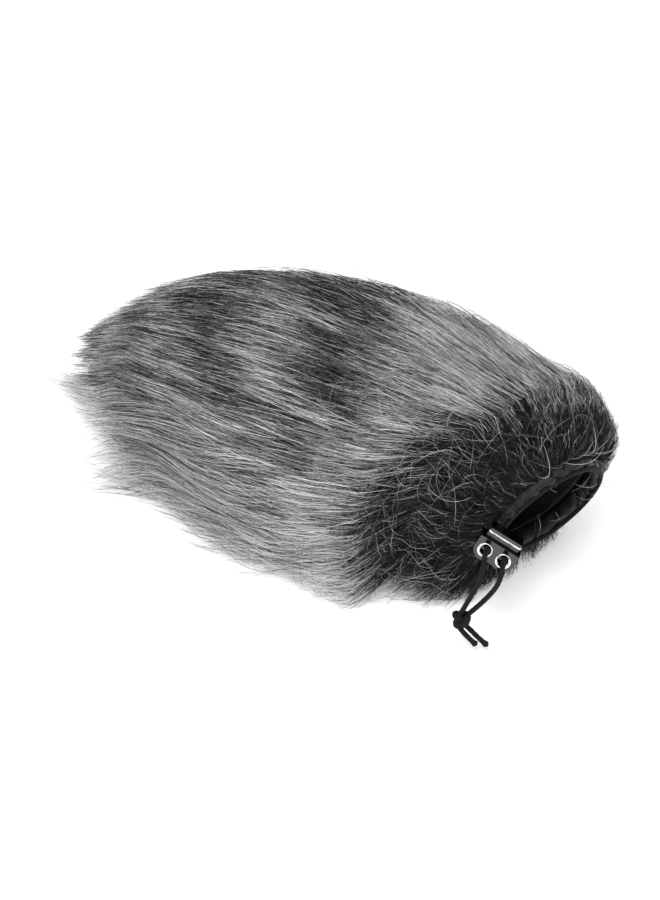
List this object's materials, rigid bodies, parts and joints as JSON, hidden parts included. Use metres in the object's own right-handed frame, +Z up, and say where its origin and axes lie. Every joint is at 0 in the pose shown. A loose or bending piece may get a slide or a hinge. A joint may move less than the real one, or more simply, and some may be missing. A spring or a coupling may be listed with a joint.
{
  "type": "furry windscreen",
  "caption": "Long-pile furry slip-on microphone windscreen lying on its side, with a drooped drawstring mouth and a sprung metal cord lock.",
  "frame": {"origin": "on the surface the windscreen lies on, at the middle of its length and width without the drawstring's loose end", "axes": "+X along the sleeve towards the mouth, +Z up; the drawstring's lock hangs on the -Y side"},
  "size_m": [0.3353, 0.172, 0.122],
  "materials": {
    "fur": "matte",
    "knit_backing": "matte",
    "lining_mesh": "matte",
    "thread": "satin",
    "binding": "satin",
    "elastic": "matte",
    "lock_metal": "polished",
    "spring_steel": "satin"
  },
  "bodies": {
    "sleeve": {"fur_pile_body": "fur", "fur_pile_end": "fur", "backing_body": "knit_backing", "backing_end": "knit_backing", "lining_body": "lining_mesh", "lining_end": "lining_mesh", "body_seam_allowance": "knit_backing", "body_seam_thread": "thread", "end_seam_allowance": "knit_backing", "end_seam_thread": "thread", "mouth_binding": "binding", "binding_stitching": "thread", "exit_bar_tacks": "thread", "drawstring_loop": "elastic"},
    "drawstring": {"drawstring_leg_left": "elastic", "drawstring_leg_right": "elastic", "drawstring_knot": "elastic"},
    "lock": {"lock_body": "lock_metal", "lock_spring": "spring_steel"},
    "plunger": {"lock_plunger": "lock_metal"}
  },
  "joints": [
    {"name": "drawstring_swing", "type": "hinge", "parent": "sleeve", "child": "drawstring", "pos_m": [0.1382, -0.0372, 0.0458], "axis": [-0.8585, 0.3125, 0.4067], "range_deg": [0, 40]},
    {"name": "lock_slide", "type": "slide", "parent": "drawstring", "child": "lock", "axis": [0.3859, -0.9009, 0.1986], "range_m": [0, 0.006]},
    {"name": "plunger_press", "type": "slide", "parent": "lock", "child": "plunger", "axis": [-0.3717, -0.3489, -0.8603], "range_m": [0, 0.0023], "stiffness_N_per_m": 500, "springref_m": -0.002, "deforming": ["lock_spring"]}
  ]
}
